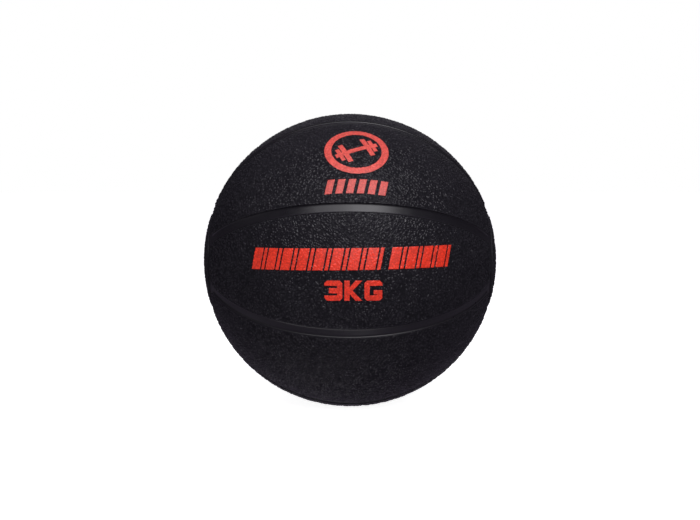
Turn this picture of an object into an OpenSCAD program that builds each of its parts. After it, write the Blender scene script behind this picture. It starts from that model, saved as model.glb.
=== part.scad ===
// Inflatable rubber medicine ball: a wound bladder inside a heavy rubber carcass, covered with
// eight long pebbled panels and two round end panels. Smooth channel strips fill the grooves.
// The poles lie on the X axis, the printed panel faces -Y, and the origin is the ball's centre.

/* [Ball] */
// Diameter over the cover panels
ball_d = 230; // [200:5:290]

/* [Wall layers] */
// Thickness of the pebbled cover panels
cover_t = 4; // [3:0.5:6]
// Thickness of the weighted rubber carcass
carcass_t = 9.5; // [6:0.5:14]
// Thickness of the wound nylon layer
winding_t = 1.5; // [1:0.25:2.5]
// Thickness of the butyl bladder
bladder_t = 2; // [1.5:0.25:3]

/* [Channels] */
// Width of every groove between panels
channel_w = 7; // [5:0.5:9]
// Depth of the grooves below the panels
channel_depth = 1.5; // [1:0.25:2.5]
// Mean diameter of the ring groove round each end panel
ring_d = 82; // [70:1:110]
// Radius of the corners of the long panels
corner_r = 7; // [4:0.5:10]

/* [Valve] */
// Diameter of the valve stem that passes through the wall
stem_d = 11; // [9:0.5:14]
// Diameter of the flange bonded inside the bladder
flange_d = 32; // [24:1:40]
// Thickness of that flange
flange_t = 2; // [1.5:0.25:3]
// Length of the stem inside the flange
boss_l = 8; // [5:0.5:12]
// Diameter of the soft valve insert
insert_d = 6.4; // [5:0.2:7.4]
// Depth of the insert's face below the ball's surface
insert_inset = 0.6; // [0.3:0.1:1]
// Diameter of the hole for the inflating needle
needle_hole_d = 2.2; // [2:0.1:2.6]
// Depth of the hole for the inflating needle
needle_hole_l = 12; // [8:1:16]

/* [Print] */
// Thickness of the ink film
ink_t = 0.15; // [0.1:0.05:0.3]
// Outer diameter of the round emblem
emblem_d = 46; // [36:1:50]
// Width of the emblem's ring
emblem_ring_w = 5; // [3:0.5:7]
// Height of the long row of blocks
row_h = 15; // [10:0.5:18]
// Height of the weight marking
weight_h = 14; // [10:0.5:16]

/* [Hidden] */
$fn = 96;

// Radii of the wall's interfaces, from the outside in
ball_r = ball_d / 2;
floor_r = ball_r - channel_depth;
carcass_r = ball_r - cover_t;
winding_r = carcass_r - carcass_t;
bladder_r = winding_r - winding_t;
air_r = bladder_r - bladder_t;

// Long panels: eight at equal steps, so neighbours meet half a step from a panel's middle
panel_step = 360 / 8;
half_step = panel_step / 2;
half_w = channel_w / 2;
ring_in_r = ring_d / 2 - half_w;
ring_out_r = ring_d / 2 + half_w;

// Radial reach and length of the tools that cut the wall
reach = 1.2 * ball_r;
span = 2.4 * ball_r;

red = [0.78, 0.12, 0.08];
pebbled_black = [0.11, 0.11, 0.12];
smooth_black = [0.07, 0.07, 0.08];

// A hollow ball whose own poles lie on the X axis
module shell(outer_r, inner_r) {
    rotate([0, 90, 0]) difference() {
        sphere(r = outer_r);
        sphere(r = inner_r);
    }
}

// Runs a flat outline along X. Its x direction points out of the ball at this elevation above
// the front, and its y direction points up round the ball.
module along_poles(elevation) {
    rotate([-elevation, 0, 0]) rotate([90, 0, -90])
        linear_extrude(height = span, center = true) children();
}

// The half of space to the right (side 1) or to the left (side -1) of the ball's middle
module half_space(side) {
    translate([side * reach / 2, 0, 0]) cube([reach, span, span], center = true);
}

// The edge that a channel strip and a panel share, for a groove along the x axis with the panel
// above it. It starts just inside the ring groove, rounds the panel's corner in flat steps and
// runs on out of the ball.
function groove_edge() =
    let (
        corner_reach = ring_out_r + corner_r,
        corner_y = half_w + corner_r,
        corner = [sqrt(pow(corner_reach, 2) - pow(corner_y, 2)), corner_y],
        turn = 90 - asin(corner_y / corner_reach),
        inside = corner * (ring_out_r - 1) / corner_reach,
        steps = 4
    )
    concat(
        [inside],
        [for (i = [steps:-1:0]) corner - corner_r * [sin(i * turn / steps), cos(i * turn / steps)]],
        [[reach, half_w]]
    );

function turned(points, angle) =
    [for (p = points) [p.x * cos(angle) - p.y * sin(angle), p.x * sin(angle) + p.y * cos(angle)]];

// An outline from its lower edge, closed by the same edge mirrored in the x axis
function mirrored_outline(edge) =
    concat(edge, [for (i = [len(edge) - 1:-1:0]) [edge[i].x, -edge[i].y]]);

// A straight round hole or rod along X, through both poles
module pole_rod(radius) {
    rotate([0, 90, 0]) cylinder(r = radius, h = span, center = true);
}

// A piece of the cover inside an outline that is seen along X, clear of the ring grooves. It is
// cut one panel above the front and then turned to its own elevation.
module cover_piece(outer_r, elevation, outline) {
    rotate([panel_step - elevation, 0, 0]) difference() {
        intersection() {
            shell(outer_r, carcass_r);
            along_poles(panel_step) polygon(outline);
        }
        pole_rod(ring_out_r);
    }
}

module long_panel(elevation) {
    color(pebbled_black)
        cover_piece(ball_r, elevation, mirrored_outline(turned(groove_edge(), -half_step)));
}

module end_panel(side) {
    color(pebbled_black) intersection() {
        shell(ball_r, carcass_r);
        half_space(side);
        pole_rod(ring_in_r);
    }
}

// Strips are numbered round the ball, from the one just above the front panel
module channel_strip(number) {
    color(smooth_black)
        cover_piece(floor_r, (number - 0.5) * panel_step, mirrored_outline(groove_edge()));
}

module ring_channel(side) {
    color(smooth_black) difference() {
        intersection() {
            shell(floor_r, carcass_r);
            half_space(side);
            pole_rod(ring_out_r);
        }
        pole_rod(ring_in_r);
    }
}

module carcass_half(side) {
    color(smooth_black) intersection() {
        shell(carcass_r, winding_r);
        half_space(side);
    }
}

// The straight hole that the valve stem fills, at the right pole
module stem_hole() {
    rotate([0, 90, 0]) cylinder(d = stem_d, h = reach);
}

module bladder() {
    color([0.13, 0.13, 0.14]) difference() {
        shell(bladder_r, air_r);
        stem_hole();
    }
}

module nylon_winding() {
    color([0.85, 0.84, 0.78]) difference() {
        shell(winding_r, bladder_r);
        stem_hole();
    }
}

module valve_body() {
    boss_x = air_r - flange_t - boss_l;
    rim_x = sqrt(pow(ball_r, 2) - pow(stem_d / 2, 2));
    color([0.09, 0.09, 0.10]) difference() {
        union() {
            translate([boss_x, 0, 0]) rotate([0, 90, 0]) cylinder(d = stem_d, h = rim_x - boss_x);
            intersection() {
                shell(air_r, air_r - flange_t);
                rotate([0, 90, 0]) cylinder(d = flange_d, h = reach);
            }
        }
        translate([boss_x + flange_t, 0, 0]) rotate([0, 90, 0]) cylinder(d = insert_d, h = reach);
        translate([boss_x - flange_t, 0, 0]) rotate([0, 90, 0]) cylinder(d = needle_hole_d, h = reach);
    }
}

module valve_insert() {
    seat_x = air_r - boss_l;
    face_x = ball_r - insert_inset;
    color([0.16, 0.15, 0.15]) difference() {
        translate([seat_x, 0, 0]) rotate([0, 90, 0]) cylinder(d = insert_d, h = face_x - seat_x);
        translate([face_x - needle_hole_l, 0, 0]) rotate([0, 90, 0])
            cylinder(d = needle_hole_d, h = 2 * needle_hole_l);
    }
}

// Ink film on the ball. The outline's x runs to the right and its y up round the ball, both as
// seen square on to the panel at this elevation.
module ink(elevation) {
    color(red) intersection() {
        shell(ball_r + ink_t, ball_r);
        rotate([-elevation, 0, 0]) rotate([90, 0, 0]) linear_extrude(height = reach) children();
    }
}

// Offset from a panel's middle to a point this many degrees to the right and up
function on_panel(right, up) = ball_r * [sin(right), sin(up)];

// A bar that leans to the right
module slanted_bar(w, h) {
    lean = h * tan(12);
    polygon([[0, 0], [w, 0], [w + lean, h], [lean, h]]);
}

// A plate or bar of a symbol, centred
module block(w, h) {
    square([w, h], center = true);
}

// A ring round a plain dumbbell symbol
module emblem_outline() {
    symbol = emblem_d - 2 * emblem_ring_w;
    difference() {
        circle(d = emblem_d);
        circle(d = symbol);
    }
    rotate(25) {
        block(symbol * 0.90, symbol * 0.10);
        for (side = [-1, 1]) {
            translate([side * symbol * 0.24, 0]) block(symbol * 0.10, symbol * 0.52);
            translate([side * symbol * 0.35, 0]) block(symbol * 0.08, symbol * 0.34);
        }
    }
}

// Six leaning bars under the emblem
module short_bar_outline() {
    bars = 6;
    w = 0.9 * emblem_d / bars;
    for (i = [0:bars - 1]) translate([(i - bars / 2) * w * 1.08, 0]) slanted_bar(w * 0.72, emblem_d * 0.24);
}

// One pair of leaning bars, thick then thin, between two angles to the right
module bar_pair(from, to) {
    left = on_panel(from, 0).x;
    w = on_panel(to, 0).x - left;
    translate([left, 0]) slanted_bar(w * 0.60, row_h);
    translate([left + w * 0.70, 0]) slanted_bar(w * 0.20, row_h);
}

// A long row of eight pairs, a gap and four pairs, evenly spaced round the ball
module block_row_outline() {
    pair_angle = 6;
    gap_angle = 2.2;
    start = -37;
    for (i = [0:11]) {
        from = start + i * pair_angle + (i < 8 ? 0 : gap_angle);
        bar_pair(from, from + pair_angle);
    }
}

// A rectangle with its corners cut off
module chamfered(w, h, cut) {
    polygon([
        [cut, 0], [w - cut, 0], [w, cut], [w, h - cut],
        [w - cut, h], [cut, h], [0, h - cut], [0, cut]
    ]);
}

// The numeral 3, from square strokes
module numeral_three(w, h, stroke) {
    intersection() {
        chamfered(w, h, stroke * 0.5);
        union() {
            square([w, stroke]);
            translate([w * 0.25, (h - stroke) / 2]) square([w * 0.75, stroke]);
            translate([0, h - stroke]) square([w, stroke]);
            translate([w - stroke, 0]) square([stroke, h]);
        }
    }
}

// The letter K, from square strokes
module letter_k(w, h, stroke) {
    square([stroke, h]);
    arm = [[0.8 * stroke, 0.30 * h], [w, h], [w - 1.3 * stroke, h], [0.8 * stroke, 0.60 * h]];
    polygon(arm);
    polygon([for (i = [3:-1:0]) [arm[i].x, h - arm[i].y]]);
}

// The letter G, from square strokes
module letter_g(w, h, stroke) {
    intersection() {
        chamfered(w, h, stroke * 0.5);
        union() {
            square([stroke, h]);
            square([w, stroke]);
            translate([0, h - stroke]) square([w, stroke]);
            translate([w - stroke, 0]) square([stroke, h * 0.52]);
            translate([w * 0.52, h * 0.52 - stroke * 0.8]) square([w * 0.48, stroke * 0.8]);
        }
    }
}

// The ball's weight in kilograms
module weight_outline() {
    w = weight_h * 0.88;
    pitch = weight_h * 0.98;
    stroke = weight_h * 0.26;
    translate([-1.5 * pitch, 0]) numeral_three(w, weight_h, stroke);
    translate([-0.5 * pitch, 0]) letter_k(w, weight_h, stroke);
    translate([0.5 * pitch, 0]) letter_g(w, weight_h, stroke);
}

module front_panel() {
    long_panel(0);
}

module upper_front_panel() {
    long_panel(panel_step);
}

module top_panel() {
    long_panel(2 * panel_step);
}

module upper_rear_panel() {
    long_panel(3 * panel_step);
}

module rear_panel() {
    long_panel(4 * panel_step);
}

module lower_rear_panel() {
    long_panel(5 * panel_step);
}

module bottom_panel() {
    long_panel(6 * panel_step);
}

module lower_front_panel() {
    long_panel(7 * panel_step);
}

module left_end_panel() {
    end_panel(-1);
}

module right_end_panel() {
    difference() {
        end_panel(1);
        stem_hole();
    }
}

module carcass_half_left() {
    carcass_half(-1);
}

module carcass_half_right() {
    difference() {
        carcass_half(1);
        stem_hole();
    }
}

module emblem_print() {
    ink(panel_step) translate(on_panel(2.3, 2.3)) emblem_outline();
}

module short_bar_print() {
    ink(panel_step) translate(on_panel(2.3, -17.2)) short_bar_outline();
}

module block_row_print() {
    ink(0) translate(on_panel(0, 0.6)) rotate(0.75) block_row_outline();
}

module weight_print() {
    ink(0) translate(on_panel(1.5, -10)) weight_outline();
}

bladder();
valve_body();
valve_insert();
nylon_winding();
carcass_half_left();
carcass_half_right();
front_panel();
upper_front_panel();
top_panel();
upper_rear_panel();
rear_panel();
lower_rear_panel();
bottom_panel();
lower_front_panel();
left_end_panel();
right_end_panel();
channel_strip(1);  // channel_strip_1
channel_strip(2);  // channel_strip_2
channel_strip(3);  // channel_strip_3
channel_strip(4);  // channel_strip_4
channel_strip(5);  // channel_strip_5
channel_strip(6);  // channel_strip_6
channel_strip(7);  // channel_strip_7
channel_strip(8);  // channel_strip_8
ring_channel(-1);  // left_ring_channel
ring_channel(1);  // right_ring_channel
emblem_print();
short_bar_print();
block_row_print();
weight_print();
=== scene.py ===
"""Looks of the rubber medicine ball: pebbled panels, smooth channels, red print and the valve.

Sizes are in millimetres until a mesh is made. The poles lie on the X axis, the printed panel
faces -Y, and elevations are degrees up from -Y round the X axis.
"""

import math

import bpy
import numpy as np
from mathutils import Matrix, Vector
from mathutils.geometry import delaunay_2d_cdt


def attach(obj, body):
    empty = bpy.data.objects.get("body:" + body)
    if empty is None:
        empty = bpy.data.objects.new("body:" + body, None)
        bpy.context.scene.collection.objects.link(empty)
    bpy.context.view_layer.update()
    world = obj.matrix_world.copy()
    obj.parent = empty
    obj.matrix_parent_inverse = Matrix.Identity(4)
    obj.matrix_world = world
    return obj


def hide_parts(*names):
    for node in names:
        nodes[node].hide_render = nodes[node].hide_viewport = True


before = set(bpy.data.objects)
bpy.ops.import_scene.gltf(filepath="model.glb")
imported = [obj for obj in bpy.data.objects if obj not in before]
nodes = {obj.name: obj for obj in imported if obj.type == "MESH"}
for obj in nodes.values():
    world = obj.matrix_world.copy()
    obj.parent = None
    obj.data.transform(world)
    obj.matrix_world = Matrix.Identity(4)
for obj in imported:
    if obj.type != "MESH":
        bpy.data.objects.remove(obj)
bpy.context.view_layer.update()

MM = 0.001
FULL_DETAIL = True

# Driving sizes of the part, as in its CAD source
BALL_R = 115.0
COVER_T = 4.0
CHANNEL_W = 7.0
CHANNEL_DEPTH = 1.5
RING_D = 82.0
CORNER_R = 7.0
STEM_D = 11.0
INSERT_D = 6.4
INSERT_INSET = 0.6
NEEDLE_HOLE_D = 2.2
NEEDLE_HOLE_L = 12.0
AIR_R = 98.0
FLANGE_D = 32.0
FLANGE_T = 2.0
BOSS_L = 8.0
INK_T = 0.15
EMBLEM_D = 46.0
EMBLEM_RING_W = 5.0
ROW_H = 15.0
WEIGHT_H = 14.0

# Worked-out sizes
FLOOR_R = BALL_R - CHANNEL_DEPTH
CARCASS_R = BALL_R - COVER_T
PANEL_STEP = 45.0
HALF_STEP = math.radians(PANEL_STEP / 2)
HALF_W = CHANNEL_W / 2
RING_IN_R = RING_D / 2 - HALF_W
RING_OUT_R = RING_D / 2 + HALF_W
CORNER_REACH = RING_OUT_R + CORNER_R
CORNER_B = HALF_W + CORNER_R
CORNER_A = math.sqrt(CORNER_REACH**2 - CORNER_B**2)
CORNER_TURN = math.asin(CORNER_B / CORNER_REACH)

# The moulded surface
LIP_R = 1.2
COVE_R = 1.1
MARGIN_FROM = 0.1
MARGIN_TO = 1.0
PEBBLE_PITCH = 2.0
PEBBLE_H = 0.8
PEBBLE_MIDDLE = 0.62
SMOOTH_HEIGHT = 0.75
INK_FILL = 0.10
SPACING = 0.455 if FULL_DETAIL else 0.8
STRIP_SPACING = 0.8
EDGE_STEPS = np.array([0, 0.12, 0.28, 0.48, 0.72, 1.0, 1.35, 1.75])
STRIP_EDGE_STEPS = EDGE_STEPS[:6] * 0.5
VALVE_EDGE_R = 0.4

# Where the print stands on its panel, in degrees to the right and up
EMBLEM_AT = (2.3, 2.3)
SHORT_BARS_AT = (2.3, -17.2)
WEIGHT_AT = (1.5, -10)
ROW_UP = 0.6
BAR_LEAN = 12
ROW_TILT = 0.75
SYMBOL_TILT = 25


# ---------------------------------------------------------------------------- noise


class Lattice:
    """Seeded random values on a repeating grid of unit cells."""

    SIDE = 48

    def __init__(self, seed, channels):
        self.values = np.random.default_rng(seed).random((self.SIDE**3, channels))

    def at(self, cell):
        wrapped = np.mod(cell, self.SIDE)
        row = (wrapped[:, 0] * self.SIDE + wrapped[:, 1]) * self.SIDE + wrapped[:, 2]
        return self.values[row]


def smooth_noise(points, lattice):
    """Noise from -1 to 1 that varies smoothly over one unit, a column per channel."""
    cell = np.floor(points).astype(np.int64)
    part = points - cell
    part = part * part * (3 - 2 * part)
    total = 0
    for corner in np.ndindex(2, 2, 2):
        corner = np.array(corner)
        weight = np.prod(np.where(corner == 1, part, 1 - part), axis=1)
        total = total + weight[:, None] * lattice.at(cell + corner)
    return total * 2 - 1


def two_nearest(points, lattice):
    """Distances to the nearest and second nearest of the scattered cell centres."""
    cell = np.floor(points).astype(np.int64)
    nearest = np.full(len(points), 9.0)
    second = np.full(len(points), 9.0)
    for step in np.ndindex(3, 3, 3):
        other = cell + np.array(step) - 1
        centre = other + lattice.at(other)
        gap = np.sqrt(((centre - points) ** 2).sum(axis=1))
        second = np.minimum(second, np.maximum(nearest, gap))
        nearest = np.minimum(nearest, gap)
    return nearest, second


WARP = Lattice(11, 3)
CELLS = Lattice(23, 3)
SWELL = Lattice(37, 1)


def smoothstep(value, low, high):
    part = np.clip((value - low) / (high - low), 0, 1)
    return part * part * (3 - 2 * part)


def grain(points):
    """How high the leathery grain stands at points on the ball, from 0 in a crease to 1."""
    bent = points + 1.2 * smooth_noise(points / 2.4, WARP)
    nearest, second = two_nearest(bent / PEBBLE_PITCH, CELLS)
    dome = smoothstep(second - nearest, 0.0, 0.62)
    swell = smooth_noise(points / 4.5, SWELL)[:, 0]
    return np.clip(0.80 * dome + 0.20 * (0.5 + 0.5 * swell) - 0.12 * nearest, 0, 1)


# ---------------------------------------------------------------------------- cover


def edge_distance(direction):
    """Distance from the nearest panel's edge, positive on a panel and negative in a channel."""
    rho = BALL_R * np.hypot(direction[:, 1], direction[:, 2])
    round_x = np.arctan2(direction[:, 2], -direction[:, 1])
    from_groove = np.abs(np.mod(round_x, 2 * HALF_STEP) - HALF_STEP)
    a = rho * np.cos(from_groove)
    b = rho * np.sin(from_groove)
    straight = np.minimum(b - HALF_W, rho - RING_OUT_R)
    corner = CORNER_R - np.hypot(a - CORNER_A, b - CORNER_B)
    at_corner = (a < CORNER_A) & (from_groove < CORNER_TURN)
    long_side = np.where(at_corner, corner, straight)
    end_panel = RING_IN_R - rho
    at_valve = direction[:, 0] > 0
    end_panel = np.where(at_valve, np.minimum(end_panel, rho - STEM_D / 2), end_panel)
    return np.maximum(long_side, end_panel)


def panel_surface(direction):
    """Radius of the pebbled cover and the height of its grain, for unit directions."""
    inside = edge_distance(direction)
    short = np.clip(LIP_R - inside, 0, LIP_R)
    drop = LIP_R - np.sqrt(LIP_R**2 - short**2)
    height = grain(direction * BALL_R)
    mask = smoothstep(inside, MARGIN_FROM, MARGIN_TO)
    radius = BALL_R - drop + mask * PEBBLE_H * (height - PEBBLE_MIDDLE)
    return radius, SMOOTH_HEIGHT + mask * (height - SMOOTH_HEIGHT)


def channel_surface(direction):
    """Radius of the smooth channel floor, which curls up a little against the long panels."""
    outside = np.clip(-edge_distance(direction), 0, None)
    rho = BALL_R * np.hypot(direction[:, 1], direction[:, 2])
    cove_r = COVE_R * smoothstep(rho, RING_D / 2, RING_OUT_R)
    near = np.clip(cove_r - outside, 0, cove_r)
    cove = cove_r - np.sqrt(cove_r**2 - near**2)
    wave = smooth_noise(direction * BALL_R / 9.0, SWELL)[:, 0]
    return FLOOR_R + cove + 0.02 * wave, np.full(len(direction), SMOOTH_HEIGHT)


def groove_turn(rho):
    """Angle from the middle of a groove to the panel's edge, at a distance from the X axis."""
    straight = math.asin(HALF_W / rho)
    cos_turn = (rho**2 + CORNER_REACH**2 - CORNER_R**2) / (2 * rho * CORNER_REACH)
    if rho < math.hypot(CORNER_A, HALF_W):
        return CORNER_TURN - math.acos(min(1.0, cos_turn))
    return straight


def spread(length, spacing, steps):
    """Positions from 0 to length, fine at both ends."""
    steps = steps[steps < 0.35 * length]
    reach = steps[-1]
    middle = np.linspace(reach, length - reach, max(2, math.ceil((length - 2 * reach) / spacing)))
    return np.concatenate([steps[:-1], middle, length - steps[:-1][::-1]])


def directions(x, round_x):
    """Unit directions for distances along X on the ball and angles up round it."""
    rho = np.sqrt(BALL_R**2 - x**2)
    return np.stack([x, -rho * np.cos(round_x), rho * np.sin(round_x)], axis=1) / BALL_R


# ---------------------------------------------------------------------------- meshes


def stitch(first, second):
    """Triangles between two rows of vertices. A row is (vertex numbers, places from 0 to 1)."""
    number_a, place_a = first
    number_b, place_b = second
    middle_a = (place_a[1:] + place_a[:-1]) / 2
    middle_b = (place_b[1:] + place_b[:-1]) / 2
    across_b = number_b[np.searchsorted(middle_b, middle_a)]
    across_a = number_a[np.searchsorted(middle_a, middle_b, side="right")]
    return np.vstack(
        [
            np.column_stack([number_a[1:], number_a[:-1], across_b]),
            np.column_stack([number_b[:-1], number_b[1:], across_a]),
        ]
    )


def make_mesh(name, points, triangles, grain_height=None):
    """A smooth-shaded object from points in millimetres, riding on the ball."""
    mesh = bpy.data.meshes.new(name)
    count = len(triangles)
    mesh.vertices.add(len(points))
    mesh.vertices.foreach_set("co", (points * MM).astype(np.float32).ravel())
    mesh.loops.add(3 * count)
    mesh.loops.foreach_set("vertex_index", triangles.astype(np.int32).ravel())
    mesh.polygons.add(count)
    mesh.polygons.foreach_set("loop_start", np.arange(0, 3 * count, 3, dtype=np.int32))
    mesh.update(calc_edges=True)
    mesh.polygons.foreach_set("use_smooth", np.ones(count, dtype=bool))
    if grain_height is not None:
        attribute = mesh.attributes.new("grain", "FLOAT", "POINT")
        attribute.data.foreach_set("value", grain_height.astype(np.float32))
    mesh.set_sharp_from_angle(angle=math.radians(65))
    piece = bpy.data.objects.new(name, mesh)
    bpy.context.scene.collection.objects.link(piece)
    return piece


def finish_piece(piece, node, material):
    """Gives a piece its material, attaches it to the root body and hides the CAD node that it stands for."""
    piece.data.materials.append(material)
    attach(piece, "root")
    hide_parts(node)
    return piece


class Rows:
    """Rows of directions that grow into one closed shell."""

    def __init__(self):
        self.direction = []
        self.total = 0

    def add(self, direction, places, closed=False):
        number = np.arange(self.total, self.total + len(direction))
        self.total += len(direction)
        self.direction.append(direction)
        if closed and len(direction) > 1:
            return np.append(number, number[0]), np.append(places, 1.0)
        return number, places


def shell(name, outer, inner, closed, surface, inner_r):
    """A closed shell between an outer surface and a sphere. Rows are lists of directions."""
    rows = Rows()
    outer_rows = [rows.add(d, p, closed) for d, p in outer]
    outer_count = rows.total
    inner_rows = [rows.add(d, p, closed) for d, p in inner]
    direction = np.vstack(rows.direction)
    radius, height = surface(direction[:outer_count])
    radius = np.append(radius, np.full(rows.total - outer_count, inner_r))
    height = np.append(height, np.full(rows.total - outer_count, SMOOTH_HEIGHT))
    parts = [stitch(a, b) for a, b in zip(outer_rows, outer_rows[1:])]
    parts += [stitch(b, a) for a, b in zip(inner_rows, inner_rows[1:])]
    if len(outer_rows[0][0]) > 1:
        parts.append(stitch(inner_rows[0], outer_rows[0]))
    parts.append(stitch(outer_rows[-1], inner_rows[-1]))
    if not closed:
        for end in (0, -1):
            top = np.array([row[0][end] for row in outer_rows])
            under = np.array([row[0][end] for row in inner_rows])
            wall = [
                np.column_stack([top[:-1], top[1:], under[1:]]),
                np.column_stack([top[:-1], under[1:], under[:-1]]),
            ]
            parts += wall if end == 0 else [w[:, ::-1] for w in wall]
    triangles = np.vstack(parts)
    points = direction * radius[:, None]
    corner = points[triangles[:outer_count]]
    facing = np.cross(corner[:, 1] - corner[:, 0], corner[:, 2] - corner[:, 0])
    if (facing * corner[:, 0]).sum() < 0:
        triangles = triangles[:, ::-1]
    return make_mesh(name, points, triangles, height)


def slice_shell(name, elevation, half_turn, spacing, steps, surface, inner_r):
    """A shell that runs from pole ring to pole ring. half_turn(rho) is its half width."""
    ring_beta = math.acos(RING_OUT_R / BALL_R)
    along = spread(2 * ring_beta * BALL_R, spacing, steps) / BALL_R - ring_beta
    centre = math.radians(elevation)
    outer = []
    inner = []
    for beta in along:
        rho = BALL_R * math.cos(beta)
        half = half_turn(rho)
        places = spread(2 * half * rho, spacing, steps) / (2 * half * rho)
        few = np.linspace(0, 1, 7)
        for rows, place in ((outer, places), (inner, few)):
            x = np.full(len(place), BALL_R * math.sin(beta))
            rows.append((directions(x, centre + half * (2 * place - 1)), place))
    return shell(name, outer, inner, False, surface, inner_r)


def cap_shell(name, side, inner_reach, outer_reach, spacing, steps, surface, inner_r):
    """A round or ring-shaped shell about a pole, between two distances from the X axis."""
    start = math.asin(inner_reach / BALL_R)
    stop = math.asin(outer_reach / BALL_R)
    arc = spread((stop - start) * BALL_R, spacing, steps) / BALL_R + start
    outer = []
    inner = []
    for turn in arc:
        rho = BALL_R * math.sin(turn)
        count = 1 if turn == 0 else max(8, round(2 * math.pi * rho / spacing))
        for rows, number in ((outer, count), (inner, min(count, 90))):
            place = np.arange(number) / number
            x = np.full(number, side * BALL_R * math.cos(turn))
            rows.append((directions(x, 2 * math.pi * place), place))
    inner = [inner[0]] + inner[1:-1:12] + [inner[-1]]
    return shell(name, outer, inner, True, surface, inner_r)


def lathe(name, profile, count=96):
    """A piece turned about the X axis, from a profile of (x, distance from the axis)."""
    points = []
    rows = []
    total = 0
    for x, rho in profile:
        number = count if rho > 0 else 1
        turn = 2 * np.pi * np.arange(number) / count
        points.append(np.stack([np.full(number, x), -rho * np.cos(turn), rho * np.sin(turn)], axis=1))
        row = np.arange(total, total + number)
        if rho > 0:
            rows.append((np.append(row, row[0]), np.arange(count + 1) / count))
        else:
            rows.append((row, np.zeros(1)))
        total += number
    if profile[0][1] > 0:
        rows.append(rows[0])
    triangles = np.vstack([stitch(a, b) for a, b in zip(rows, rows[1:])])
    return make_mesh(name, np.vstack(points), triangles)


def valve_profiles():
    """Outlines of the valve body, a flanged sleeve, and of the insert with its needle hole."""
    stem_r = STEM_D / 2
    insert_r = INSERT_D / 2
    needle_r = NEEDLE_HOLE_D / 2
    boss_x = AIR_R - FLANGE_T - BOSS_L
    seat_x = AIR_R - BOSS_L
    rim_x = math.sqrt(BALL_R**2 - stem_r**2)
    face_x = BALL_R - INSERT_INSET
    soft = VALVE_EDGE_R
    slight = 0.3 * soft
    flange = np.linspace(stem_r, FLANGE_D / 2, 8)
    body = [(boss_x, needle_r), (boss_x, stem_r - soft), (boss_x + soft, stem_r)]
    body += [(math.sqrt((AIR_R - FLANGE_T) ** 2 - rho**2), rho) for rho in flange]
    body += [(math.sqrt(AIR_R**2 - rho**2), rho) for rho in flange[::-1]]
    body += [(rim_x - soft, stem_r), (rim_x - slight, stem_r - slight), (rim_x, stem_r - soft)]
    body += [(rim_x, insert_r + 2 * soft), (rim_x - soft / 2, insert_r + soft), (rim_x - soft, insert_r)]
    body += [(seat_x, insert_r), (seat_x, needle_r)]
    insert = [(seat_x, 0), (seat_x, insert_r - soft), (seat_x + soft, insert_r)]
    insert += [(face_x - soft, insert_r), (face_x - slight, insert_r - slight), (face_x, insert_r - soft)]
    insert += [(face_x, needle_r + 2 * soft), (face_x - soft / 2, needle_r + soft)]
    insert += [(face_x - 2 * soft, needle_r), (face_x - NEEDLE_HOLE_L, needle_r)]
    insert += [(face_x - NEEDLE_HOLE_L - soft, 0)]
    return body, insert


# ---------------------------------------------------------------------------- print

# An outline is a closed list of points; a shape is (outlines, inside test) on a panel's plane.


def on_panel(right, up):
    return BALL_R * np.array([math.sin(math.radians(right)), math.sin(math.radians(up))])


def within(points, outline):
    """True for points inside a closed outline."""
    inside = np.zeros(len(points), dtype=bool)
    for a, b in zip(outline, np.roll(outline, -1, axis=0)):
        crosses = (a[1] > points[:, 1]) != (b[1] > points[:, 1])
        rise = b[1] - a[1] if b[1] != a[1] else 1e-9
        inside ^= crosses & (points[:, 0] < (b[0] - a[0]) * (points[:, 1] - a[1]) / rise + a[0])
    return inside


def union(*outlines):
    outlines = [np.array(o, dtype=float) for o in outlines]
    return outlines, lambda p: np.any([within(p, o) for o in outlines], axis=0)


def placed(shape, offset, angle=0.0):
    """The shape turned by an angle in degrees and then moved."""
    outlines, inside = shape
    c = math.cos(math.radians(angle))
    s = math.sin(math.radians(angle))
    turn = np.array([[c, s], [-s, c]])
    offset = np.array(offset, dtype=float)
    return [o @ turn + offset for o in outlines], lambda p: inside((p - offset) @ turn.T)


def rectangle(x, y, w, h):
    return np.array([[x, y], [x + w, y], [x + w, y + h], [x, y + h]])


def centred(w, h, x=0.0):
    return rectangle(x - w / 2, -h / 2, w, h)


def circle(diameter, count=180):
    turn = 2 * np.pi * np.arange(count) / count
    return diameter / 2 * np.stack([np.cos(turn), np.sin(turn)], axis=1)


def slanted_bar(w, h):
    lean = h * math.tan(math.radians(BAR_LEAN))
    return union([[0, 0], [w, 0], [w + lean, h], [lean, h]])


def clipped(shape, outline):
    outlines, inside = shape
    return outlines + [outline], lambda p: inside(p) & within(p, outline)


def emblem_shapes():
    symbol = EMBLEM_D - 2 * EMBLEM_RING_W
    outer = circle(EMBLEM_D)
    hole = circle(symbol)
    ring = ([outer, hole], lambda p: within(p, outer) & ~within(p, hole))
    plates = [
        centred(share * symbol, height * symbol, side * reach * symbol)
        for side in (-1, 1)
        for share, height, reach in ((0.10, 0.52, 0.24), (0.08, 0.34, 0.35))
    ]
    dumbbell = union(centred(0.90 * symbol, 0.10 * symbol), *plates)
    centre = on_panel(*EMBLEM_AT)
    return [placed(ring, centre), placed(placed(dumbbell, (0, 0), SYMBOL_TILT), centre)]


def short_bar_shapes():
    bars = 6
    w = 0.9 * EMBLEM_D / bars
    bar = slanted_bar(0.72 * w, 0.24 * EMBLEM_D)
    corner = on_panel(*SHORT_BARS_AT)
    return [placed(bar, corner + np.array([(i - bars / 2) * 1.08 * w, 0])) for i in range(bars)]


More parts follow.
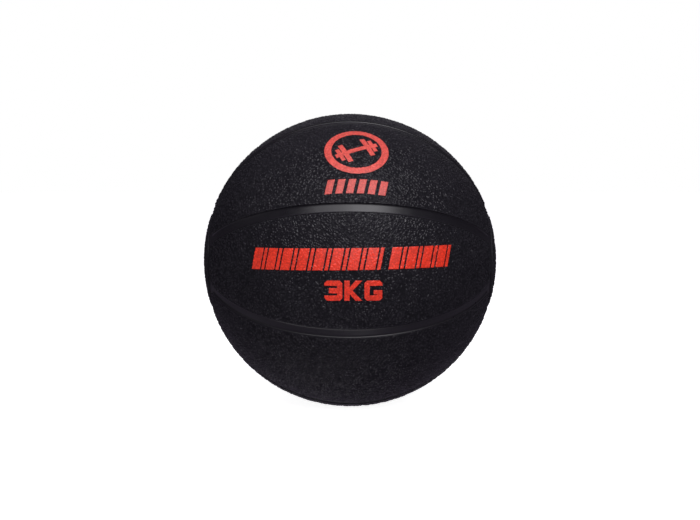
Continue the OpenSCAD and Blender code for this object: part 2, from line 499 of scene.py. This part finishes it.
def block_row_shapes():
    pair_angle = 6
    gap_angle = 2.2
    start = -37
    shapes = []
    for i in range(12):
        angle = start + i * pair_angle + (0 if i < 8 else gap_angle)
        left = on_panel(angle, 0)[0]
        w = on_panel(angle + pair_angle, 0)[0] - left
        for share, offset in ((0.60, 0.0), (0.20, 0.70)):
            bar = placed(slanted_bar(share * w, ROW_H), (left + offset * w, 0))
            shapes.append(placed(placed(bar, (0, 0), ROW_TILT), on_panel(0, ROW_UP)))
    return shapes


def weight_shapes():
    h = WEIGHT_H
    w = 0.88 * h
    pitch = 0.98 * h
    s = 0.26 * h
    cut = 0.5 * s
    frame_outline = np.array(
        [[cut, 0], [w - cut, 0], [w, cut], [w, h - cut], [w - cut, h], [cut, h], [0, h - cut], [0, cut]]
    )
    three = union(
        rectangle(0, 0, w, s),
        rectangle(0.25 * w, (h - s) / 2, 0.75 * w, s),
        rectangle(0, h - s, w, s),
        rectangle(w - s, 0, s, h),
    )
    arm = np.array([[0.8 * s, 0.30 * h], [w, h], [w - 1.3 * s, h], [0.8 * s, 0.60 * h]])
    letter_k = union(rectangle(0, 0, s, h), arm, [[x, h - y] for x, y in arm[::-1]])
    letter_g = union(
        rectangle(0, 0, s, h),
        rectangle(0, 0, w, s),
        rectangle(0, h - s, w, s),
        rectangle(w - s, 0, s, 0.52 * h),
        rectangle(0.52 * w, 0.52 * h - 0.8 * s, 0.48 * w, 0.8 * s),
    )
    corner = on_panel(*WEIGHT_AT)
    row = [clipped(three, frame_outline), letter_k, clipped(letter_g, frame_outline)]
    return [placed(shape, corner + np.array([(i - 1.5) * pitch, 0])) for i, shape in enumerate(row)]


def filled(shape, spacing):
    """Points and triangles that fill a shape, with its outlines as edges."""
    outlines, inside = shape
    points = []
    edges = []
    for outline in outlines:
        first = sum(len(p) for p in points)
        loop = []
        for a, b in zip(outline, np.roll(outline, -1, axis=0)):
            count = max(1, round(np.hypot(*(b - a)) / spacing))
            loop.append(a + (b - a) * (np.arange(count) / count)[:, None])
        loop = np.vstack(loop)
        number = np.arange(first, first + len(loop))
        points.append(loop)
        edges.append(np.column_stack([number, np.roll(number, -1)]))
    low = np.vstack(points).min(axis=0)
    high = np.vstack(points).max(axis=0)
    across, up = np.meshgrid(
        np.arange(low[0], high[0], spacing), np.arange(low[1], high[1], spacing * 0.87)
    )
    across[1::2] += spacing / 2
    lattice = np.column_stack([across.ravel(), up.ravel()])
    lattice = lattice[inside(lattice)]
    rim = np.vstack(points)
    gap = np.sqrt(((lattice[:, None, :] - rim[None, :, :]) ** 2).sum(axis=2)).min(axis=1)
    points = np.vstack([rim, lattice[gap > 0.45 * spacing]])
    found = delaunay_2d_cdt([Vector(p) for p in points], np.vstack(edges).tolist(), [], 0, 1e-6)
    points = np.array([tuple(p) for p in found[0]])
    triangles = np.array(found[2])
    triangles = triangles[inside(points[triangles].mean(axis=1))]
    return points, triangles


def film(name, shapes, elevation):
    """Ink on the grain: a thin closed film for each shape, joined into one piece."""
    turn = math.radians(elevation)
    normal = np.array([0, -math.cos(turn), math.sin(turn)])
    upward = np.array([0, math.sin(turn), math.cos(turn)])
    points = []
    triangles = []
    heights = []
    ink_level = BALL_R - INK_FILL * PEBBLE_H
    total = 0
    for shape in shapes:
        flat, faces = filled(shape, SPACING * 0.9)
        used, faces = np.unique(faces, return_inverse=True)
        flat = flat[used]
        faces = faces.reshape(-1, 3)
        edges = np.vstack([faces[:, [0, 1]], faces[:, [1, 2]], faces[:, [2, 0]]])
        key = np.sort(edges, axis=1) @ np.array([len(flat), 1])
        _, where, count = np.unique(key, return_index=True, return_counts=True)
        rim = edges[where[count == 1]]
        depth = np.sqrt(BALL_R**2 - (flat**2).sum(axis=1))
        direction = (flat[:, :1] * [1, 0, 0] + flat[:, 1:] * upward + depth[:, None] * normal) / BALL_R
        radius, height = panel_surface(direction)
        radius = np.maximum(radius, ink_level)
        on_rim = np.zeros(len(flat), dtype=bool)
        on_rim[rim.ravel()] = True
        top = direction * (radius + np.where(on_rim, 0.5, 1.0) * INK_T)[:, None]
        under = direction * (radius - INK_T)[:, None]
        lower = rim + len(flat)
        walls = [
            np.column_stack([rim[:, 1], rim[:, 0], lower[:, 0]]),
            np.column_stack([rim[:, 1], lower[:, 0], lower[:, 1]]),
        ]
        points += [top, under]
        heights += [height, height]
        triangles.append(np.vstack([faces, faces[:, ::-1] + len(flat), *walls]) + total)
        total += 2 * len(flat)
    return make_mesh(name, np.vstack(points), np.vstack(triangles), np.concatenate(heights))


# ---------------------------------------------------------------------------- materials


class Shader:
    """Builds one material's nodes."""

    def __init__(self, name):
        self.material = bpy.data.materials.new(name)
        self.material.use_nodes = True
        self.tree = self.material.node_tree
        self.surface = self.tree.nodes["Principled BSDF"]
        self.where = self.tree.nodes.new("ShaderNodeTexCoord").outputs["Object"]

    def set(self, **values):
        for name, value in values.items():
            self.surface.inputs[name.replace("_", " ")].default_value = value

    def link(self, source, target):
        self.tree.links.new(source, self.surface.inputs[target] if isinstance(target, str) else target)

    def noise(self, size_mm, detail=3.0, roughness=0.55, distortion=0.0):
        node = self.tree.nodes.new("ShaderNodeTexNoise")
        node.inputs["Scale"].default_value = 1 / (size_mm * MM)
        node.inputs["Detail"].default_value = detail
        node.inputs["Roughness"].default_value = roughness
        node.inputs["Distortion"].default_value = distortion
        self.tree.links.new(self.where, node.inputs["Vector"])
        return node.outputs["Fac"]

    def bent(self, size_mm, amount_mm):
        """The object's coordinates, shifted about by a smooth noise."""
        noise = self.noise(size_mm, 1.0).node
        shift = self.tree.nodes.new("ShaderNodeVectorMath")
        shift.operation = "MULTIPLY_ADD"
        self.tree.links.new(noise.outputs["Color"], shift.inputs[0])
        shift.inputs[1].default_value = (2 * amount_mm * MM,) * 3
        self.tree.links.new(self.where, shift.inputs[2])
        return shift.outputs[0]

    def cells(self, size_mm, where=None):
        node = self.tree.nodes.new("ShaderNodeTexVoronoi")
        node.inputs["Scale"].default_value = 1 / (size_mm * MM)
        self.tree.links.new(where or self.where, node.inputs["Vector"])
        return node.outputs["Distance"]

    def attribute(self, name):
        node = self.tree.nodes.new("ShaderNodeAttribute")
        node.attribute_name = name
        return node.outputs["Fac"]

    def ramp(self, source, *stops):
        node = self.tree.nodes.new("ShaderNodeValToRGB")
        ramp = node.color_ramp
        while len(ramp.elements) < len(stops):
            ramp.elements.new(0.5)
        for element, (place, value) in zip(ramp.elements, stops):
            element.position = place
            element.color = (*value, 1) if isinstance(value, tuple) else (value, value, value, 1)
        self.tree.links.new(source, node.inputs["Fac"])
        return node.outputs["Color"]

    def mix(self, factor, first, second, blend="MIX"):
        node = self.tree.nodes.new("ShaderNodeMix")
        node.data_type = "RGBA"
        node.blend_type = blend
        for socket, value in ((node.inputs[0], factor), (node.inputs[6], first), (node.inputs[7], second)):
            if isinstance(value, (int, float)):
                socket.default_value = value
            elif isinstance(value, tuple):
                socket.default_value = (*value, 1)
            else:
                self.tree.links.new(value, socket)
        return node.outputs[2]

    def math(self, operation, first, second):
        node = self.tree.nodes.new("ShaderNodeMath")
        node.operation = operation
        for socket, value in zip(node.inputs, (first, second)):
            if isinstance(value, (int, float)):
                socket.default_value = value
            else:
                self.tree.links.new(value, socket)
        return node.outputs[0]

    def bump(self, height, distance_mm, strength=1.0, under=None):
        node = self.tree.nodes.new("ShaderNodeBump")
        node.inputs["Strength"].default_value = strength
        node.inputs["Distance"].default_value = distance_mm * MM
        self.tree.links.new(height, node.inputs["Height"])
        if under is not None:
            self.tree.links.new(under, node.inputs["Normal"])
        return node.outputs["Normal"]


def pebbled_rubber():
    s = Shader("pebbled_rubber")
    patches = s.ramp(s.noise(38, 4), (0.35, (0.0147, 0.0138, 0.0168)), (0.68, (0.0182, 0.0173, 0.0206)))
    dust = s.ramp(s.noise(1.1, 3), (0.52, 0.0), (0.78, 1.0))
    toned = s.mix(s.math("MULTIPLY", dust, 0.25), patches, (0.022, 0.021, 0.024))
    # Painted shade: the base colour is darkened towards black in the grain's creases, standing in for the
    # shade that falls there.
    crease = s.ramp(s.attribute("grain"), (0.0, 1.0), (0.45, 0.0))
    s.link(s.mix(s.math("MULTIPLY", crease, 0.5), toned, (0.004, 0.004, 0.005)), "Base Color")
    worn = s.ramp(s.noise(16, 4), (0.35, 0.10), (0.7, 0.15))
    top = s.ramp(s.attribute("grain"), (0.68, 0.0), (0.9, 1.0))
    s.link(s.mix(top, worn, (0.38, 0.38, 0.38)), "Roughness")
    fine = s.bump(s.noise(0.45, 3, 0.6), 0.008)
    pebble = s.math("SUBTRACT", 1.0, s.math("POWER", s.cells(1.55, s.bent(2.2, 0.8)), 1.3))
    s.link(s.bump(pebble, 0.12, under=fine), "Normal")
    glint = s.ramp(s.attribute("grain"), (0.0, 0.02), (0.24, 0.04), (0.43, 0.26), (0.58, 0.26), (0.74, 0.02))
    s.link(glint, "Specular IOR Level")
    s.set(IOR=1.5)
    return s.material


def smooth_rubber():
    s = Shader("smooth_rubber")
    tone = s.ramp(s.noise(30, 4), (0.3, (0.0075, 0.0070, 0.0090)), (0.7, (0.0105, 0.0098, 0.0120)))
    speck = s.ramp(s.noise(0.9, 2), (0.66, 0.0), (0.74, 1.0))
    s.link(s.mix(s.math("MULTIPLY", speck, 0.5), tone, (0.003, 0.003, 0.003)), "Base Color")
    s.link(s.ramp(s.noise(7, 4), (0.3, 0.27), (0.7, 0.35)), "Roughness")
    s.link(s.bump(s.noise(1.6, 4, 0.6), 0.02), "Normal")
    s.set(IOR=1.5, Specular_IOR_Level=0.36)
    return s.material


def ink(name, colour, pale):
    s = Shader(name)
    tone = s.ramp(s.noise(5, 3), (0.3, colour), (0.7, pale))
    # The ink is darkened towards a deep red over the grain's deepest pits.
    deep_pit_darkening = s.ramp(s.attribute("grain"), (0.06, 1.0), (0.26, 0.0))
    s.link(s.mix(s.math("MULTIPLY", deep_pit_darkening, 0.4), tone, (0.22, 0.014, 0.009)), "Base Color")
    s.link(s.ramp(s.noise(3, 3), (0.3, 0.42), (0.7, 0.55)), "Roughness")
    s.link(s.bump(s.noise(0.5, 3), 0.03), "Normal")
    s.set(IOR=1.5)
    return s.material


def plain_rubber(name, dark, light, rough):
    s = Shader(name)
    s.link(s.ramp(s.noise(12, 5), (0.3, dark), (0.7, light)), "Base Color")
    s.link(s.ramp(s.noise(5, 4), (0.3, rough), (0.7, rough + 0.15)), "Roughness")
    s.link(s.bump(s.noise(1.2, 5, 0.6), 0.08), "Normal")
    s.set(IOR=1.5)
    return s.material


def nylon_thread():
    s = Shader("nylon_thread")
    wave = s.tree.nodes.new("ShaderNodeTexWave")
    wave.inputs["Scale"].default_value = 1 / (5 * MM)
    wave.inputs["Distortion"].default_value = 6
    s.tree.links.new(s.where, wave.inputs["Vector"])
    s.link(s.ramp(wave.outputs["Fac"], (0.1, (0.42, 0.38, 0.28)), (0.8, (0.78, 0.75, 0.66))), "Base Color")
    s.link(s.ramp(s.noise(2, 3), (0.3, 0.55), (0.7, 0.75)), "Roughness")
    s.link(s.bump(wave.outputs["Fac"], 0.3), "Normal")
    return s.material


# ---------------------------------------------------------------------------- pieces

pebbled = pebbled_rubber()
smooth = smooth_rubber()
valve_rubber = plain_rubber("valve_rubber", (0.010, 0.009, 0.010), (0.020, 0.019, 0.020), 0.35)
plug_rubber = plain_rubber("plug_rubber", (0.026, 0.024, 0.025), (0.042, 0.040, 0.041), 0.40)

PANELS = [
    "front_panel",
    "upper_front_panel",
    "top_panel",
    "upper_rear_panel",
    "rear_panel",
    "lower_rear_panel",
    "bottom_panel",
    "lower_front_panel",
]
for index, node in enumerate(PANELS):
    panel = slice_shell(
        "cover_" + node,
        index * PANEL_STEP,
        lambda rho: HALF_STEP - groove_turn(rho),
        SPACING,
        EDGE_STEPS,
        panel_surface,
        CARCASS_R,
    )
    finish_piece(panel, node, pebbled)

for index in range(8):
    strip = slice_shell(
        f"groove_strip_{index + 1}",
        (index + 0.5) * PANEL_STEP,
        groove_turn,
        STRIP_SPACING,
        STRIP_EDGE_STEPS,
        channel_surface,
        CARCASS_R,
    )
    finish_piece(strip, f"channel_strip_{index + 1}", smooth)

for side, word in ((-1, "left"), (1, "right")):
    hole = 0.0 if side < 0 else STEM_D / 2
    cap = cap_shell(
        f"cover_{word}_end_panel", side, hole, RING_IN_R, SPACING, EDGE_STEPS, panel_surface, CARCASS_R
    )
    finish_piece(cap, f"{word}_end_panel", pebbled)
    ring = cap_shell(
        f"groove_{word}_ring",
        side,
        RING_IN_R,
        RING_OUT_R,
        STRIP_SPACING,
        STRIP_EDGE_STEPS,
        channel_surface,
        CARCASS_R,
    )
    finish_piece(ring, f"{word}_ring_channel", smooth)

body_profile, insert_profile = valve_profiles()
finish_piece(lathe("valve_sleeve", body_profile), "valve_body", valve_rubber)
finish_piece(lathe("valve_plug", insert_profile), "valve_insert", plug_rubber)

bright_ink = ink("red_ink", (0.80, 0.031, 0.008), (0.88, 0.043, 0.016))
pale_ink = ink("pale_red_ink", (0.66, 0.075, 0.055), (0.75, 0.096, 0.072))
bar_ink = ink("dull_red_ink", (0.57, 0.066, 0.050), (0.65, 0.085, 0.065))
for name, node, shapes, elevation, material in (
    ("ink_emblem", "emblem_print", emblem_shapes(), PANEL_STEP, pale_ink),
    ("ink_short_bars", "short_bar_print", short_bar_shapes(), PANEL_STEP, bar_ink),
    ("ink_block_row", "block_row_print", block_row_shapes(), 0.0, bright_ink),
    ("ink_weight", "weight_print", weight_shapes(), 0.0, bright_ink),
):
    finish_piece(film(name, shapes, elevation), node, material)

for node, material in (
    ("bladder", plain_rubber("butyl_rubber", (0.012, 0.012, 0.014), (0.030, 0.030, 0.033), 0.35)),
    ("nylon_winding", nylon_thread()),
    ("carcass_half_left", plain_rubber("filled_rubber", (0.014, 0.013, 0.013), (0.035, 0.033, 0.032), 0.6)),
    ("carcass_half_right", bpy.data.materials["filled_rubber"]),
):
    nodes[node].data.materials.clear()
    nodes[node].data.materials.append(material)

# ---------------------------------------------------------------------------- studio


def soft_box(name, azimuth, elevation, distance, wide, high, radiance):
    """A soft light facing the ball, in metres. Azimuth is in degrees to the right of the front."""
    light = bpy.data.lights.new(name, "AREA")
    light.shape = "RECTANGLE"
    light.size = wide
    light.size_y = high
    light.color = (0.975, 0.96, 1.0)
    light.energy = radiance * wide * high * math.pi
    lamp = bpy.data.objects.new(name, light)
    a = math.radians(azimuth)
    e = math.radians(elevation)
    out = Vector((math.sin(a) * math.cos(e), -math.cos(a) * math.cos(e), math.sin(e)))
    lamp.location = out * distance
    lamp.rotation_mode = "QUATERNION"
    lamp.rotation_quaternion = out.to_track_quat("Z", "Y")
    bpy.context.scene.collection.objects.link(lamp)


soft_box("key_light", 3, 41, 1.6, 1.82, 1.5, 2.6)
soft_box("key_core", 16, 41, 1.6, 0.69, 1.5, 3.4)
soft_box("under_fill", -40, -76, 1.6, 2.0, 0.7, 1.25)
soft_box("left_fill", -75, -5, 1.6, 1.0, 1.6, 0.22)
soft_box("back_light", 172, 38, 1.6, 1.6, 1.2, 0.22)

bpy.context.scene.view_settings.view_transform = "Standard"

world = bpy.data.worlds.new("studio")
bpy.context.scene.world = world
world.use_nodes = True
tree = world.node_tree
background = tree.nodes["Background"]
place = tree.nodes.new("ShaderNodeTexCoord")
split = tree.nodes.new("ShaderNodeSeparateXYZ")
tree.links.new(place.outputs["Generated"], split.inputs[0])
fill = tree.nodes.new("ShaderNodeValToRGB")
upness = tree.nodes.new("ShaderNodeMapRange")
upness.inputs["From Min"].default_value = -1
tree.links.new(split.outputs["Z"], upness.inputs["Value"])
tree.links.new(upness.outputs["Result"], fill.inputs["Fac"])
# Brightness of the reflected surroundings, from straight down (0) to straight up (1)
levels = ((0.0, 0.27), (0.28, 0.20), (0.45, 0.035), (0.8, 0.06), (0.88, 0.18), (1.0, 0.22))
while len(fill.color_ramp.elements) < len(levels):
    fill.color_ramp.elements.new(0.5)
for element, (position, level) in zip(fill.color_ramp.elements, levels):
    element.position = position
    element.color = (level, level * 0.86, level * 1.16, 1)
seen = tree.nodes.new("ShaderNodeMix")
seen.data_type = "RGBA"
path = tree.nodes.new("ShaderNodeLightPath")
tree.links.new(path.outputs["Is Camera Ray"], seen.inputs[0])
tree.links.new(fill.outputs["Color"], seen.inputs[6])
seen.inputs[7].default_value = (1, 1, 1, 1)
tree.links.new(seen.outputs[2], background.inputs["Color"])

FLOOR_SPREAD = 30
floor_mesh = bpy.data.meshes.new("floor")
turn = 2 * np.pi * np.arange(96) / 96
rim = [(FLOOR_SPREAD * math.cos(t), FLOOR_SPREAD * math.sin(t), -BALL_R * MM) for t in turn]
floor_mesh.from_pydata(rim, [], [list(range(96))])
floor = bpy.data.objects.new("floor", floor_mesh)
bpy.context.scene.collection.objects.link(floor)
pale = Shader("pale_floor")
pale.link(pale.ramp(pale.noise(300, 3), (0.3, 0.80), (0.7, 0.84)), "Base Color")
pale.set(Roughness=0.9, Emission_Color=(1, 1, 1, 1), Emission_Strength=0.94)
floor_mesh.materials.append(pale.material)
floor.visible_diffuse = False
floor.visible_glossy = False
floor.visible_shadow = False

# ---------------------------------------------------------------------------- camera

DISTANCE = 7 * BALL_R * MM
TILT = math.radians(4.08)
LENS = 52.06
camera_data = bpy.data.cameras.new("camera")
camera_data.lens = LENS
camera_data.sensor_width = 36
camera_data.clip_start = 0.01
camera = bpy.data.objects.new("camera", camera_data)
camera.location = (0, -DISTANCE * math.cos(TILT), DISTANCE * math.sin(TILT))
camera.rotation_euler = (math.pi / 2 - TILT, 0, 0)
bpy.context.scene.collection.objects.link(camera)
bpy.context.scene.camera = camera
